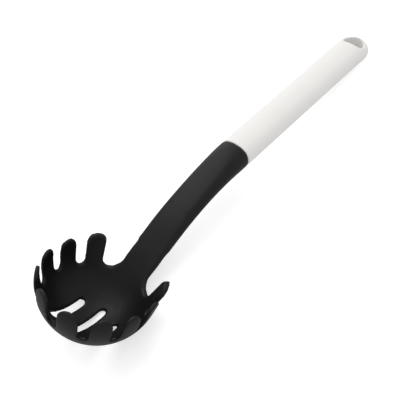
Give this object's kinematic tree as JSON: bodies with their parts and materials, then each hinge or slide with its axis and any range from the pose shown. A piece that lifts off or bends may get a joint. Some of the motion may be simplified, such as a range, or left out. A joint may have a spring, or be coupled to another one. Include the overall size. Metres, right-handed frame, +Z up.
{
  "type": "pasta server",
  "caption": "Pasta server: a tined half-ball bowl with drain slots on a curved neck, plugged into a pale oval grip with a hang hole.",
  "frame": {"origin": "bottom centre of the bounding box, on the table that the server rests on with its bowl and the end of its handle", "axes": "+X from the bowl to the handle's hanging end, +Y to the left seen from the bowl towards the handle, +Z up from the table, with the bowl open upwards"},
  "size_m": [0.3296, 0.0696, 0.0522],
  "materials": {
    "black_nylon": "fine matte moulded",
    "white_plastic": "satin matte moulded",
    "seal_rubber": "matte"
  },
  "bodies": {
    "root": {"server_head": "black_nylon", "handle_sleeve": "white_plastic", "socket_seal": "seal_rubber"}
  },
  "joints": []
}
